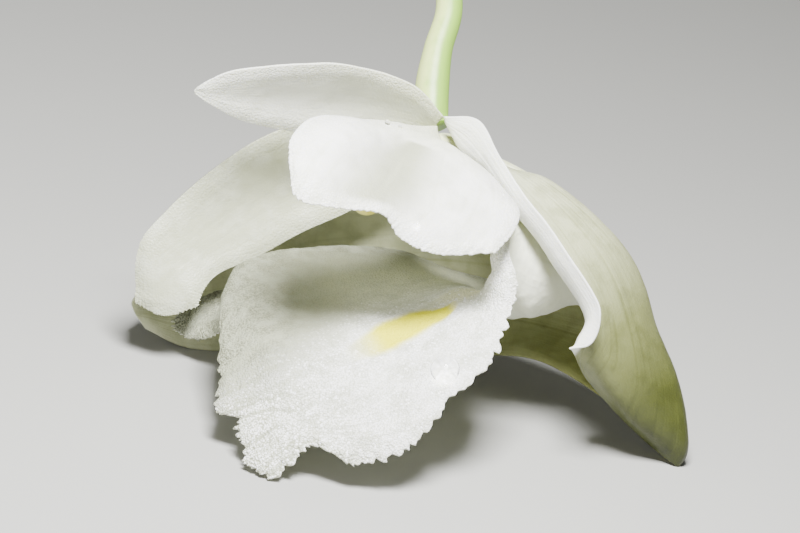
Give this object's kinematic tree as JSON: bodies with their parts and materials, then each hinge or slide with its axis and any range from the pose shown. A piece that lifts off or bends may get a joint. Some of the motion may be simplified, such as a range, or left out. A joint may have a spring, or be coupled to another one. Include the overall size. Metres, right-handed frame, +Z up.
{
  "type": "picked orchid bloom",
  "caption": "White spurred orchid bloom on a short cut stalk, with cut-edged petals, a spreading lip and a yellow mark in its throat.",
  "frame": {"origin": "centre of the bloom's bounding box, at the level of the table it rests on", "axes": "+Z up from the table, +X from the far petal's end to the spur's tip, -Y toward the flower's left side, which the picture shows"},
  "size_m": [0.058, 0.046, 0.0419],
  "materials": {
    "stalk_green": "smooth pale green plant stem",
    "column_cream": "waxy cream plant tissue",
    "anther_yellow": "waxy pale yellow plant tissue",
    "sepal_cream": "satin cream petal, olive green at the spur's tip",
    "petal_white": "satin white petal",
    "lip_white": "finely grained white petal with a yellow mark"
  },
  "bodies": {
    "root": {"pedicel_ovary": "stalk_green", "column_foot": "column_cream", "anther_cap": "anther_yellow", "dorsal_sepal": "sepal_cream", "petal_left": "petal_white", "petal_right": "petal_white", "lateral_sepal_left": "sepal_cream", "lateral_sepal_right": "sepal_cream", "lip": "lip_white"}
  },
  "joints": []
}
